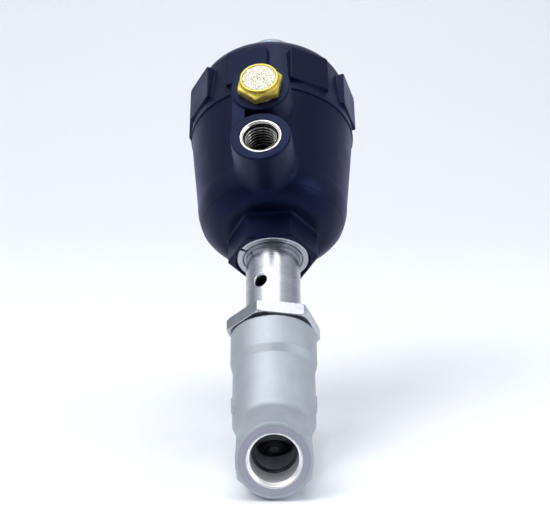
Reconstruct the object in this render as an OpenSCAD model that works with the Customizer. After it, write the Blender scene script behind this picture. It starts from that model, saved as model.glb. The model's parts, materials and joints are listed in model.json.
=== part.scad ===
// Pneumatic angle-seat valve: stainless body, bonnet tube and plastic piston actuator.
// Millimetres, +Z up. The flow runs along Y and the inlet face is at y = 0.
// The stem leans back at 45 degrees. Heights along it are measured from where the two axes cross.

/* [Valve body] */
// Distance between the two port faces
face_to_face = 65; // [62:1:75]
// Width across the flats of the port hexagons
port_flats = 25.1; // [24:0.1:27]
// Diameter of the machined ring on each port face
port_ring_d = 23.5; // [22:0.1:24]
// Diameter of the mouth chamfer at the port face
port_mouth_d = 18.6; // [17.5:0.1:19]
// Diameter of the plain pipe socket in each port
port_socket_d = 16; // [15:0.1:16.5]
// Depth of the pipe socket
port_socket_depth = 12; // [10:0.5:13]
// Diameter of the flow passage
passage_d = 14.06; // [12:0.01:14.2]
// Diameter of the seat opening
seat_d = 13; // [11:0.5:13]
// Outer diameter of the barrel that holds the bonnet
barrel_d = 29.8; // [29:0.1:31]
// Outer diameter of the rim on top of the barrel
barrel_rim_d = 31.6; // [31:0.1:33]

/* [Bonnet] */
// Width across the flats of the bonnet hexagon
bonnet_flats = 30.6; // [29:0.1:31]
// Height of the bonnet hexagon
bonnet_hex_h = 5.2; // [4:0.1:6]
// Outer diameter of the bonnet tube
tube_d = 20.7; // [20:0.1:21]
// Diameter of the leakage hole in the tube
weep_d = 4.7; // [3:0.1:5]
// Diameter of the spindle
spindle_d = 8; // [7:0.1:8.2]

/* [Actuator] */
// Travel of the plug from closed to open
lift = 8; // [5:0.5:9]
// Width across the flats of the actuator's lower hexagon
actuator_flats = 30.3; // [30:0.1:31]
// Outer diameter of the cylinder at its foot
cylinder_foot_d = 58; // [58:0.1:60]
// Outer diameter of the cylinder below the cover
cylinder_top_d = 64.9; // [64:0.1:66]
// Bore of the cylinder
piston_bore_d = 50; // [49:0.5:50]
// Turn of the air ports from straight ahead
port_turn = -5.4; // [-45:0.1:45]
// Distance from the stem axis to the face of each air port
air_port_reach = 43.3; // [43:0.1:46]
// Minor diameter of the G 1/4 air port thread
air_thread_d = 11.445; // [11.445:0.001:11.89]
// Outer diameter of the metal insert in each air port
insert_d = 15.5; // [15:0.1:16]
// Width across the flats of the silencer hexagon
silencer_flats = 15.6; // [15:0.1:16]
// Number of flat grip pads round the cover
pad_count = 8; // [6:1:8]
// Outer diameter of the clear cap
cap_d = 24; // [23:0.5:25]

/* [Hidden] */

fit = 0.05;          // radial clearance of a running fit
snug = 0.02;         // gap between pieces that sit together
mouth_depth = 1.1;   // depth of the chamfer in each port mouth
axis_y = face_to_face / 2;
neck_tube_r = 12.9;  // round tube between the port hexagons
barrel_foot_z = 0.5; // level below which the barrel gives way to that tube

// heights along the stem
floor_h = -4;
seat_h = -2.5;
seat_way_h = -8.5;   // where the way up to the seat leaves the inlet passage
bonnet_bore_h = 24.5;
barrel_cone_h = 24.5;
barrel_rim_h = 27.8;
barrel_top_h = 39.3;
gasket_h = 1.1;
hex_h = barrel_top_h + gasket_h;
tube_h = hex_h + bonnet_hex_h;
weep_h = 59.25;
weep_turn = -27.5;
foot_h = 74.8;       // underside of the actuator
flange_h = 78.5;     // flange that carries the actuator
tube_top_h = 92;
pilot_h = 100.3;     // axis of the lower air port
exhaust_h = 124.7;   // axis of the upper air port
cover_h = 134.1;     // lower edge of the cover
pad_foot_h = 139.1;
pad_r = 33.3;        // distance from the axis to a pad's flat
pad_half = 8.6;      // half of a pad's width
pad_top_h = 156.4;
pad_turn = -17.5;
roof_h = 161;        // inside of the cover's top, where the spring rests
crown_h = 168.2;     // outside of the cover's top
neck_h = 174.5;      // top of the neck round the position pin
cap_h = crown_h + 0.7;
cap_top_h = neck_h + lift + 5.5;
shoulder_h = 105.5;  // shoulder on the spindle under the piston
spring_h = shoulder_h + 7.05;

// heights and radii of the bonnet's bore and its packing
bonnet_foot_h = 25;
clip_h = 26;
washer_h = 27.2;
packing_spring_h = 28.62;
pressure_ring_h = 36;
v_ring_h = 37.52;
v_ring_pitch = 1.5;
header_h = 43.5;
packing_top_h = 46;
lower_bush_r = 5.5;
tube_bore_h = 50;
upper_bush_h = 81;
upper_bush_r = 6;
nipple_groove_h = 86;
nipple_groove_r = 8.8;
rod_seal_h = 88.5;

chamber_r = 10.5;
bonnet_r = 12;
packing_r = 6.5;
tube_bore_r = 8;
stem_r = spindle_d / 2;
tail_r = 3.4;        // spindle end that holds the piston
bore_r = piston_bore_d / 2;
collar_r = 29.8;     // thread collar of the housing, inside the cover
cover_r = 33.1;
notch_r = 34.9;      // clearance that the upper boss leaves round the cover
insert_r = insert_d / 2;
insert_len = 12;
silencer_h = 5.3;    // height of the silencer above the boss
disc_r = 6.4;
boss_r = 11.35;
cap_r = cap_d / 2;
neck_r = 10.2;       // neck of the cover, inside the clear cap
pin_bore_r = 5.6;

// Places its children on the stem axis, with their +Z along the stem and -Y to the front.
module on_stem(h = 0) {
    translate([0, axis_y, 0])
        rotate([-45, 0, 0])
            translate([0, 0, h])
                children();
}

// A ring or tube round Z, from z = 0 up.
module ring(r_out, r_in, h) {
    difference() {
        cylinder(r = r_out, h = h, $fn = 96);
        translate([0, 0, -1])
            cylinder(r = r_in, h = h + 2, $fn = 96);
    }
}

// A round-section ring, centred on z = 0.
module o_ring(r_mid, r_section) {
    rotate_extrude($fn = 96)
        translate([r_mid, 0])
            circle(r = r_section, $fn = 32);
}

// A hexagonal prism with its corners trimmed by a cone at the top and the bottom.
module trimmed_hex(flats, h, trim_low, trim_high) {
    corner_r = flats / sqrt(3);
    intersection() {
        cylinder(r = corner_r, h = h, $fn = 6);
        rotate_extrude($fn = 96)
            polygon([
                [0, 0], [corner_r - 2 * trim_low, 0], [corner_r + 0.1, trim_low],
                [corner_r + 0.1, h - trim_high], [corner_r - 2 * trim_high, h], [0, h]
            ]);
    }
}

// Points an air port's own +Z outwards, at height h on the stem.
module at_air_port(h) {
    on_stem(h)
        rotate([0, 0, port_turn])
            rotate([90, 0, 0])
                children();
}

// A helical wire with closed ends, from z = 0 to length, as one swept tube.
module coil(r_mid, r_wire, length, turns, steps = 20, sides = 8) {
    n = ceil(turns * steps);
    dead = 0.9;      // turns at each end that lie flat
    open_turns = turns - 2 * dead;
    flat_rise = 2 * r_wire * dead;
    open_rise = length - 2 * r_wire - 2 * flat_rise;
    function rise(t) =
        t < dead ? 2 * r_wire * t :
        t > turns - dead ? length - 2 * r_wire - 2 * r_wire * (turns - t) :
        flat_rise + open_rise * (t - dead) / open_turns;
    points = [
        for (i = [0:n], j = [0:sides - 1])
            let (t = turns * i / n, a = 360 * t, b = 360 * j / sides, r = r_mid + r_wire * cos(b))
                [r * cos(a), r * sin(a), r_wire + rise(t) + r_wire * sin(b)]
    ];
    sides_faces = [
        for (i = [0:n - 1], j = [0:sides - 1])
            let (k = (j + 1) % sides)
                [i * sides + j, (i + 1) * sides + j, (i + 1) * sides + k, i * sides + k]
    ];
    end_faces = [
        [for (j = [0:sides - 1]) j],
        [for (j = [sides - 1:-1:0]) n * sides + j]
    ];
    polyhedron(points = points, faces = concat(sides_faces, end_faces), convexity = 8);
}

// ---- valve body ----

// Outside of one port end, from its face inwards along +Y.
module port_end() {
    rotate([-90, 0, 0])
        intersection() {
            rotate([0, 0, 30])
                cylinder(r = port_flats / sqrt(3), h = axis_y, $fn = 6);
            rotate_extrude($fn = 96)
                polygon([
                    [0, 0], [port_ring_d / 2, 0], [13.4, 2.8], [13.4, 12.5],
                    [12.3, 14.5], [0, 14.5]
                ]);
        }
}

// The socket and the passage of one port, cut from its face inwards along +Y.
module port_bore(depth) {
    rotate([-90, 0, 0]) {
        translate([0, 0, -1])
            cylinder(r = port_mouth_d / 2, h = 1 + 0.02, $fn = 96);
        cylinder(r1 = port_mouth_d / 2, r2 = port_socket_d / 2, h = mouth_depth, $fn = 96);
        cylinder(r = port_socket_d / 2, h = port_socket_depth, $fn = 96);
        cylinder(r = passage_d / 2, h = depth, $fn = 96);
    }
}

module body_outside() {
    port_end();
    translate([0, face_to_face, 0])
        mirror([0, 1, 0])
            port_end();
    translate([0, 13, 0])
        rotate([-90, 0, 0])
            cylinder(r = neck_tube_r, h = face_to_face - 26, $fn = 96);
    intersection() {
        on_stem()
            rotate_extrude($fn = 120)
                polygon([
                    [0, -16], [barrel_d / 2, -16], [barrel_d / 2, barrel_cone_h],
                    [barrel_rim_d / 2, barrel_rim_h], [barrel_rim_d / 2, barrel_top_h],
                    [0, barrel_top_h]
                ]);
        translate([-25, 0, barrel_foot_z])
            cube([50, 90, 60]);
    }
}

// Half space below (side = -1) or above (side = 1) a height on the stem.
module stem_half(h, side) {
    on_stem(h)
        translate([-50, -50, side > 0 ? 0 : -100])
            cube(100);
}

module valve_body() {
    color("LightSteelBlue")
        difference() {
            body_outside();
            // inlet side: the passage stops under the seat web
            port_bore(port_socket_depth + 1);
            intersection() {
                port_bore(axis_y);
                stem_half(floor_h - 2.4, -1);
            }
            on_stem(seat_way_h)
                cylinder(r = seat_d / 2, h = seat_h - seat_way_h + 1, $fn = 96);
            // outlet side: the passage opens into the chamber above the seat
            translate([0, face_to_face, 0])
                mirror([0, 1, 0]) {
                    port_bore(port_socket_depth + 1);
                    intersection() {
                        port_bore(axis_y);
                        translate([0, face_to_face, 0])
                            mirror([0, 1, 0])
                                stem_half(floor_h, 1);
                    }
                }
            on_stem(floor_h)
                ring(chamber_r, seat_d / 2 + 1.6, seat_h - floor_h + 0.01);
            on_stem(seat_h)
                cylinder(r = chamber_r, h = bonnet_bore_h - seat_h + 1, $fn = 96);
            on_stem(bonnet_bore_h)
                cylinder(r = bonnet_r, h = 20, $fn = 96);
        }
}

module body_gasket() {
    color("DarkSlateGray")
        on_stem(barrel_top_h)
            ring(15.1, bonnet_r + snug, gasket_h);
}

// ---- bonnet and stem sealing ----

module bonnet() {
    color("Silver")
        on_stem()
            difference() {
                union() {
                    translate([0, 0, bonnet_foot_h])
                        cylinder(r = bonnet_r - fit, h = hex_h - bonnet_foot_h, $fn = 96);
                    translate([0, 0, hex_h])
                        rotate([0, 0, 10.9])
                            trimmed_hex(bonnet_flats, bonnet_hex_h, 0.6, 0.6);
                    translate([0, 0, tube_h - 1])
                        cylinder(r = tube_d / 2, h = tube_top_h - tube_h + 1, $fn = 96);
                    translate([0, 0, flange_h])
                        cylinder(r = 13, h = 3.5, $fn = 96);
                }
                translate([0, 0, bonnet_foot_h - 1])
                    cylinder(r = packing_r, h = packing_top_h - bonnet_foot_h + 1, $fn = 96);
                translate([0, 0, clip_h])
                    cylinder(r = packing_r + 0.6, h = 1.1, $fn = 96);
                translate([0, 0, packing_top_h - 1])
                    cylinder(r = lower_bush_r, h = tube_bore_h - packing_top_h + 2, $fn = 96);
                translate([0, 0, tube_bore_h])
                    cylinder(r = tube_bore_r, h = 29, $fn = 96);
                translate([0, 0, flange_h])
                    cylinder(r = stem_r + 0.4, h = 3, $fn = 96);
                translate([0, 0, upper_bush_h])
                    cylinder(r = upper_bush_r, h = tube_top_h - upper_bush_h + 1, $fn = 96);
                translate([0, 0, nipple_groove_h])
                    ring(tube_d / 2 + 1, nipple_groove_r, 2.2);
                translate([0, 0, weep_h])
                    rotate([0, 0, weep_turn])
                        rotate([90, 0, 0])
                            cylinder(r = weep_d / 2, h = 20, $fn = 48);
            }
}

module packing_clip() {
    color("DimGray")
        on_stem(clip_h + snug)
            difference() {
                ring(packing_r + 0.55, 5, 1);
                translate([-1.5, -10, -1])
                    cube([3, 10, 3]);
            }
}

module packing_washer() {
    color("Silver")
        on_stem(washer_h)
            ring(packing_r - snug, stem_r + 0.3, 1.4);
}

module packing_spring() {
    color("Gray")
        on_stem(packing_spring_h)
            coil(5.35, 0.55, 7.3, 4.5, 12, 6);
}

module packing_pressure_ring() {
    color("Silver")
        on_stem(pressure_ring_h)
            ring(packing_r - snug, stem_r + 0.1, 1.5);
}

// Four chevron rings, each with its lips turned down to the pressure side.
module packing_v_rings() {
    color("WhiteSmoke")
        on_stem(v_ring_h)
            for (i = [0:3])
                translate([0, 0, v_ring_pitch * i])
                    rotate_extrude($fn = 96)
                        polygon([
                            [stem_r + fit, 0], [5.25, 1.2], [packing_r - snug, 0],
                            [packing_r - snug, 1.45], [5.25, 2.65], [stem_r + fit, 1.45]
                        ]);
}

module packing_header() {
    color("WhiteSmoke")
        on_stem(header_h)
            rotate_extrude($fn = 96)
                polygon([
                    [stem_r + fit, 0.05], [5.25, 1.25], [packing_r - snug, 0.05],
                    [packing_r - snug, 2.45], [stem_r + fit, 2.45]
                ]);
}

module lower_guide_bush() {
    color("DarkGoldenrod")
        on_stem(packing_top_h)
            ring(lower_bush_r - snug, stem_r + fit, tube_bore_h - packing_top_h);
}

module upper_guide_bush() {
    color("DarkGoldenrod")
        on_stem(upper_bush_h + snug)
            ring(upper_bush_r - snug, stem_r + fit, rod_seal_h - upper_bush_h - 0.1);
}

module rod_seal() {
    color("Black")
        on_stem(rod_seal_h)
            rotate_extrude($fn = 96)
                polygon([
                    [stem_r + fit, 0], [upper_bush_r - snug, 0], [upper_bush_r - snug, 3.2],
                    [5.6, 3.2], [5, 1.4], [4.6, 3.2], [stem_r + fit, 3.2]
                ]);
}

module nipple_o_ring() {
    color("Black")
        on_stem(nipple_groove_h + 1.1)
            o_ring(nipple_groove_r + 0.8, 0.77);
}

// ---- plug and spindle ----

module plug() {
    color("Silver")
        on_stem()
            difference() {
                union() {
                    translate([0, 0, -0.9])
                        cylinder(r = 9.6, h = 5.4, $fn = 96);
                    translate([0, 0, 4])
                        cylinder(r = 6.5, h = 8, $fn = 96);
                }
                translate([0, 0, -1.5])
                    cylinder(r = 8.85, h = 2, $fn = 96);
                cylinder(r = 2.55, h = 6, $fn = 48);
                translate([0, 0, 5])
                    cylinder(r = stem_r + fit, h = 8, $fn = 96);
                for (s = [-1, 1])
                    translate([3.95 * s, 0, 9])
                        rotate([90, 0, 0])
                            cylinder(r = 1, h = 20, center = true, $fn = 32);
            }
}

module plug_pins() {
    color("Gray")
        on_stem(9)
            for (s = [-1, 1])
                translate([3.95 * s, 0, 0])
                    rotate([90, 0, 0])
                        cylinder(r = 0.98, h = 8, center = true, $fn = 32);
}

module plug_seal() {
    color("WhiteSmoke")
        on_stem(seat_h + snug)
            ring(8.8, 2.6, 0.5 - seat_h - 2 * snug);
}

module seal_retainer() {
    color("Silver")
        on_stem(seat_h - 1.5)
            ring(5.5, 2.6, 1.5);
}

module retainer_screw() {
    color("Silver")
        on_stem(seat_h - 1.52) {
            difference() {
                translate([0, 0, -2.5])
                    cylinder(r = 4.2, h = 2.5, $fn = 48);
                translate([0, 0, -3])
                    cylinder(r = 2.3, h = 1.8, $fn = 6);
            }
            translate([0, 0, -0.5])
                cylinder(r = 2.5, h = 8.5, $fn = 48);
        }
}

module spindle() {
    color("Silver")
        on_stem()
            rotate_extrude($fn = 96)
                polygon([
                    [0, 5.1], [stem_r - 0.5, 5.1], [stem_r, 5.6], [stem_r, 7.95], [2.9, 7.95],
                    [2.9, 10.05], [stem_r, 10.05], [stem_r, shoulder_h], [tail_r, shoulder_h],
                    [tail_r, shoulder_h + 14.5], [0, shoulder_h + 14.5]
                ]);
}

// ---- piston ----

module piston_washer() {
    color("Silver")
        on_stem(shoulder_h + snug)
            ring(9, tail_r + snug, 1.5 - snug);
}

module piston() {
    color("DarkSlateGray")
        on_stem(shoulder_h)
            rotate_extrude($fn = 120)
                polygon([
                    [tail_r + snug, 1.52], [12, 1.52], [14, 3.5], [20, 3.5], [20.5, -1.5],
                    [24.6, -1.5], [24.6, 1], [21.5, 1], [21.5, 5], [24.6, 5],
                    [24.6, 6.5], [23, 6.5], [23, 9.5], [24.6, 9.5], [24.6, 10.5],
                    [20.5, 10.5], [20, 7], [tail_r + snug + 1.6, 7],
                    [tail_r + snug + 1.6, 5.5], [tail_r + snug, 5.5]
                ]);
}

module piston_lip_seal() {
    color("Black")
        on_stem(shoulder_h)
            rotate_extrude($fn = 120)
                polygon([
                    [21.55, 1.1], [22.4, 1.1], [23, 2.9], [24.2, 1.1],
                    [bore_r - fit, 1.4], [bore_r - 0.3, 4.9], [21.55, 4.9]
                ]);
}

module piston_guide_ring() {
    color("Tan")
        on_stem(shoulder_h + 6.55)
            ring(bore_r - fit, 23.05, 2.9);
}

module piston_hub_o_ring() {
    color("Black")
        on_stem(shoulder_h + 6.27)
            o_ring(tail_r + snug + 0.76, 0.7);
}

module piston_nut() {
    color("Silver")
        on_stem(shoulder_h + 7.02)
            difference() {
                trimmed_hex(13, 5, 0.4, 0.4);
                translate([0, 0, -1])
                    cylinder(r = tail_r + snug, h = 7, $fn = 48);
            }
}

module indicator_pin() {
    color("Orange")
        on_stem()
            difference() {
                rotate_extrude($fn = 64)
                    polygon([
                        [0, shoulder_h + 12.1], [5.2, shoulder_h + 12.1],
                        [5.2, shoulder_h + 18.5], [2.6, shoulder_h + 21.5], [2.6, roof_h + 2],
                        [5, roof_h + 4], [5, neck_h - 1.1], [4, neck_h - 0.1], [0, neck_h - 0.1]
                    ]);
                translate([0, 0, shoulder_h + 11.5])
                    cylinder(r = tail_r + snug, h = 3.1, $fn = 48);
            }
}

// ---- actuator ----

// Outside of one air port boss, out to its face.
module boss(h) {
    at_air_port(h)
        translate([0, 0, 20])
            cylinder(r1 = boss_r + 0.6, r2 = boss_r, h = air_port_reach - 20, $fn = 96);
}

// Pocket of the insert and the air passage behind it.
module boss_bore(h) {
    at_air_port(h) {
        translate([0, 0, air_port_reach - insert_len])
            cylinder(r = insert_r, h = insert_len + 1, $fn = 96);
        translate([0, 0, 20])
            cylinder(r = 2.5, h = air_port_reach - insert_len - 19, $fn = 48);
    }
}

// The web that joins the two bosses on one side.
module boss_web() {
    on_stem()
        rotate([0, 0, port_turn])
            rotate([90, 0, 90])
                translate([0, 0, -10.4])
                    linear_extrude(height = 3.5)
                        polygon([
                            [-air_port_reach + 1, pilot_h], [-air_port_reach + 1, exhaust_h],
                            [-28, exhaust_h], [-28, pilot_h]
                        ]);
}

module housing_outside() {
    on_stem(foot_h)
        rotate([0, 0, port_turn])
            cylinder(r = actuator_flats / sqrt(3), h = 16, $fn = 6);
    // shoulder as an elliptic quarter, then the tapered cylinder and the thread collar
    on_stem()
        rotate_extrude($fn = 120)
            polygon(concat(
                [[0, 86], [16, 86]],
                [for (a = [15:7.5:90])
                    [20 + (cylinder_foot_d / 2 - 20) * sin(a), 100 - 14 * cos(a)]],
                [
                    [cylinder_top_d / 2, 132], [cylinder_top_d / 2, cover_h - snug],
                    [collar_r, cover_h - snug], [collar_r, 146], [0, 146]
                ]
            ));
}

module housing() {
    color("MidnightBlue")
        difference() {
            union() {
                housing_outside();
                boss(pilot_h);
                difference() {
                    boss(exhaust_h);
                    on_stem(cover_h - 0.3)
                        cylinder(r = notch_r, h = 20, $fn = 120);
                }
                boss_web();
            }
            on_stem()
                rotate_extrude($fn = 120)
                    polygon([
                        [0, 73], [14.25, 73], [14.25, 78.45], [13.1, 78.45], [13.1, 82.3],
                        [tube_d / 2 + fit, 82.3], [tube_d / 2 + fit, 92.2], [14, 92.2],
                        [bore_r, 101], [bore_r, 147], [0, 147]
                    ]);
            on_stem(137)
                ring(collar_r + 1, 27.6, 3);
            boss_bore(pilot_h);
            boss_bore(exhaust_h);
        }
}

module retaining_ring() {
    color("Silver")
        on_stem(foot_h + 0.2)
            difference() {
                ring(13.8, 11.5, 1.9);
                rotate([0, 0, -60])
                    translate([-0.6, -16, -1])
                        cube([1.2, 8, 4]);
            }
}

// A flanged bush: its flange lies behind the retaining ring and its sleeve shows inside it.
module slide_ring() {
    color("Silver")
        on_stem(foot_h) {
            translate([0, 0, 2.2])
                ring(13.8, tube_d / 2 + 0.1, 1.4);
            translate([0, 0, 0.4])
                ring(11, tube_d / 2 + 0.1, 2);
        }
}

// A knurled metal insert with its air thread bored to the minor diameter.
module port_insert(h) {
    at_air_port(h)
        translate([0, 0, air_port_reach - insert_len + snug])
            difference() {
                cylinder(r = insert_r - snug, h = insert_len, $fn = 96);
                translate([0, 0, -1])
                    cylinder(r = air_thread_d / 2, h = insert_len + 2, $fn = 96);
                translate([0, 0, insert_len - 0.8])
                    cylinder(r1 = air_thread_d / 2, r2 = 6.85, h = 0.81, $fn = 96);
            }
}

module pilot_insert() {
    color("Silver")
        port_insert(pilot_h);
}

module exhaust_insert() {
    color("Silver")
        port_insert(exhaust_h);
}

module silencer_body() {
    color("Gold")
        at_air_port(exhaust_h)
            translate([0, 0, air_port_reach + 2 * snug])
                difference() {
                    union() {
                        rotate([0, 0, 18.5])
                            trimmed_hex(silencer_flats, 3.6, 0.3, 0.9);
                        cylinder(r = 7.25, h = silencer_h, $fn = 64);
                        translate([0, 0, -8])
                            cylinder(r = air_thread_d / 2 - snug, h = 9, $fn = 64);
                    }
                    translate([0, 0, silencer_h - 2.4])
                        cylinder(r = disc_r, h = 4, $fn = 64);
                    translate([0, 0, -9])
                        cylinder(r = 3.5, h = 14, $fn = 48);
                }
}

module silencer_disc() {
    color("Khaki")
        at_air_port(exhaust_h)
            translate([0, 0, air_port_reach + silencer_h - 2.3])
                cylinder(r = disc_r - snug, h = 2.1, $fn = 64);
}

// One flat grip pad, as a plate that stands out of the round cover.
module pad_plate(turn) {
    rotate([0, 0, turn])
        rotate([90, 0, 0])
            translate([0, 0, pad_r - 3])
                linear_extrude(height = 3)
                    polygon([
                        [-pad_half, pad_foot_h], [pad_half, pad_foot_h],
                        [pad_half, pad_top_h - 1.5], [pad_half - 1.2, pad_top_h],
                        [1.2 - pad_half, pad_top_h], [-pad_half, pad_top_h - 1.5]
                    ]);
}

module cover() {
    color("MidnightBlue")
        on_stem()
            difference() {
                union() {
                    rotate_extrude($fn = 120)
                        polygon(concat(
                            [[0, cover_h], [cover_r, cover_h], [31.95, 151]],
                            [for (a = [0:15:75])
                                [21.7 + 9 * cos(a), 157.7 + 9 * sin(a)]],
                            [[13.6, crown_h], [neck_r, crown_h], [neck_r, neck_h], [0, neck_h]]
                        ));
                    for (i = [0:pad_count - 1])
                        pad_plate(pad_turn + 360 / pad_count * i);
                }
                translate([0, 0, cover_h - 1])
                    cylinder(r = collar_r + fit, h = 13.1, $fn = 120);
                rotate_extrude($fn = 120)
                    polygon([
                        [0, 146], [26.5, 146], [26.5, 156], [21, roof_h], [0, roof_h]
                    ]);
                translate([0, 0, 150])
                    cylinder(r = pin_bore_r, h = 30, $fn = 64);
            }
}

module cover_o_ring() {
    color("Black")
        on_stem(138.5)
            o_ring(28.75, 1.08);
}

module closing_spring() {
    color("DarkGray")
        on_stem(spring_h)
            coil(15.6, 1.6, roof_h - spring_h - snug, 6.5, 18, 8);
}

module cap_o_ring() {
    color("Black")
        on_stem(crown_h + 0.35)
            o_ring(11, 0.33);
}

module indicator_cap() {
    color("LightCyan", 0.4)
        on_stem()
            rotate_extrude($fn = 96)
                polygon(concat(
                    [[10.25, cap_h], [cap_r, cap_h]],
                    [for (a = [0:11.25:90])
                        [cap_r * cos(a), cap_top_h - 9 + 9 * sin(a)]],
                    [for (a = [90:-11.25:0])
                        [10.25 * cos(a), cap_top_h - 9 + 7.3 * sin(a)]]
                ));
}

valve_body();
body_gasket();
bonnet();
packing_clip();
packing_washer();
packing_spring();
packing_pressure_ring();
packing_v_rings();
packing_header();
lower_guide_bush();
upper_guide_bush();
rod_seal();
nipple_o_ring();
plug();
plug_seal();
seal_retainer();
retainer_screw();
plug_pins();
spindle();
piston_washer();
piston();
piston_lip_seal();
piston_guide_ring();
piston_hub_o_ring();
piston_nut();
indicator_pin();
housing();
retaining_ring();
slide_ring();
pilot_insert();
exhaust_insert();
silencer_body();
silencer_disc();
cover();
cover_o_ring();
closing_spring();
cap_o_ring();
indicator_cap();
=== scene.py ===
# Pneumatic angle-seat valve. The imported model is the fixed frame; this script adds fine shapes and finishes.
# Lengths in the settings are millimetres; meshes are written in metres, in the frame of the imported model.
import json
import math

import bpy
import numpy as np
from mathutils import Matrix, Vector


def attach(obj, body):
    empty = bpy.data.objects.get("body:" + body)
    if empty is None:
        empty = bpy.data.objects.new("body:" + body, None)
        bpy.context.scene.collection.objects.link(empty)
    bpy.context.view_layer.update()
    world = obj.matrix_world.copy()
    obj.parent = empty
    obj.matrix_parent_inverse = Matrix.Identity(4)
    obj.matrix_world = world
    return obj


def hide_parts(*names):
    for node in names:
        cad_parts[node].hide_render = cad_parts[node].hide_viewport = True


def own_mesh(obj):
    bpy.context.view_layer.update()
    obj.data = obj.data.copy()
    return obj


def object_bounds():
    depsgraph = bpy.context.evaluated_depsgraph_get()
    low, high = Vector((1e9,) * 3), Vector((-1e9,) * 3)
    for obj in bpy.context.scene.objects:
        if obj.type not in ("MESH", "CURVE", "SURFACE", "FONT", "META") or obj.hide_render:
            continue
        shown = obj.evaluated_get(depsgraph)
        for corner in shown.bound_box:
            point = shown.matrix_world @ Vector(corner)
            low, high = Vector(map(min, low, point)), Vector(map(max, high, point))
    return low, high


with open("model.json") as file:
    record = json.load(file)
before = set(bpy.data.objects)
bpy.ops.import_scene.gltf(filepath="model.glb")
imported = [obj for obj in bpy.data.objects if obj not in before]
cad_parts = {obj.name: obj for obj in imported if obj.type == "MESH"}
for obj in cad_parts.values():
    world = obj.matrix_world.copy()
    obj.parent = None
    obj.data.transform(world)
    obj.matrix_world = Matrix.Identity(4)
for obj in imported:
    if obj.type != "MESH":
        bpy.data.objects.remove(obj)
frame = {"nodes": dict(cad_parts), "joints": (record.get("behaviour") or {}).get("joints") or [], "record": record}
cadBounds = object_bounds()
print("frame loaded")

record = frame["record"]
lift = next(j for j in frame["joints"] if j["name"] == "stem_lift")
mounts = {m["name"]: m for m in record["mounts"]}
pilotAxis = mounts["pilot_air_port"]["axis"]

mm = 0.001
portHalf = (mounts["outlet_port"]["pos_m"][1] + mounts["inlet_port"]["pos_m"][1]) / mm / 2
crossing = np.array([0.0, portHalf * mm, 0.0])  # where the flow axis and the stem axis meet
stemAxis = np.array(lift["axis"], float)
sideAxis = np.array([1.0, 0.0, 0.0])
backAxis = np.cross(stemAxis, sideAxis)  # the stem's own -Y looks to the front
stemBasis = np.array([sideAxis, backAxis, stemAxis])
flowBasis = np.eye(3)
portTurn = math.atan2(pilotAxis[0], -float(np.dot(pilotAxis, backAxis)))
sharpTurn = math.radians(34)  # turned pieces keep a crisp edge where faces meet at more than this
smooth = 1.0  # coarser skins while trying things


def place(points, basis=stemBasis):
    # Local millimetres to frame metres: the crossing point plus each coordinate times its basis vector.
    return crossing + np.asarray(points, float) @ basis * mm


def buildMesh(name, points, faces, body, replaced=(), material=None, normals=None):
    # Writes points and quads or triangles into a mesh and lets it ride on a body.
    mesh = bpy.data.meshes.new(name)
    faces = np.asarray(faces, np.int32)
    mesh.vertices.add(len(points))
    mesh.vertices.foreach_set("co", np.asarray(points, np.float32).ravel())
    mesh.loops.add(faces.size)
    mesh.loops.foreach_set("vertex_index", faces.ravel())
    mesh.polygons.add(len(faces))
    mesh.polygons.foreach_set("loop_start", np.arange(0, faces.size, faces.shape[1], dtype=np.int32))
    mesh.update(calc_edges=True)
    mesh.validate()
    mesh.polygons.foreach_set("use_smooth", np.ones(len(mesh.polygons), bool))
    if normals is None:
        mesh.set_sharp_from_angle(angle=sharpTurn)
    elif len(mesh.vertices) == len(normals):
        mesh.normals_split_custom_set_from_vertices(np.asarray(normals, np.float32).tolist())
    piece = bpy.data.objects.new(name, mesh)
    bpy.context.scene.collection.objects.link(piece)
    if material is not None:
        mesh.materials.append(material)
    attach(piece, body)
    if replaced:
        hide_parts(*replaced)
    return piece


def gridFaces(rows, columns, wrapRows=False, wrapColumns=True):
    # Quads of a rows-by-columns grid: each joins a point, its right neighbour and the two above them.
    i, j = np.meshgrid(np.arange(rows if wrapRows else rows - 1),
                       np.arange(columns if wrapColumns else columns - 1), indexing="ij")
    up, right = (i + 1) % rows, (j + 1) % columns
    return np.stack([i * columns + j, i * columns + right, up * columns + right, up * columns + j],
                    -1).reshape(-1, 4)


def turned(profile, columns=96, wave=None):
    # A closed ring turned round local Z: point = (r sin a, -r cos a, z), r and z from the profile row.
    # The profile runs clockwise in (r, z), so faces point outwards. wave(angle, r, z) may shift r.
    profile = np.asarray(profile, float)
    angle = np.linspace(0, 2 * np.pi, columns, endpoint=False)
    r, a = np.meshgrid(profile[:, 0], angle, indexing="ij")
    z = np.repeat(profile[:, 1:2], columns, axis=1)
    if wave is not None:
        r = wave(a, r, z)
    points = np.stack([r * np.sin(a), -r * np.cos(a), z], -1).reshape(-1, 3)
    return points, gridFaces(len(profile), columns, wrapRows=True)


def solidOfRevolution(profile, columns=96):
    # A closed solid from the axis out and back: rows as in turned(), and a pole at each end.
    profile = np.asarray(profile, float)
    points, _ = turned(profile, columns)
    faces = gridFaces(len(profile), columns)
    poles = np.array([[0, 0, profile[0, 1]], [0, 0, profile[-1, 1]]])
    first, last = [np.full(columns, len(points) + pole) for pole in (0, 1)]
    j = np.arange(columns)
    k = (j + 1) % columns
    base = (len(profile) - 1) * columns
    fans = np.concatenate([np.stack([k, j, first, first], -1),
                           np.stack([base + j, base + k, last, last], -1)])
    points = np.concatenate([points, poles])
    return points, faces, fans[:, :3]


def addTriangles(faces, triangles):
    # Quads as two triangles each, with extra triangles behind them.
    faces = np.asarray(faces)
    return np.concatenate([faces[:, [0, 1, 2]], faces[:, [0, 2, 3]], triangles])


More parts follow.
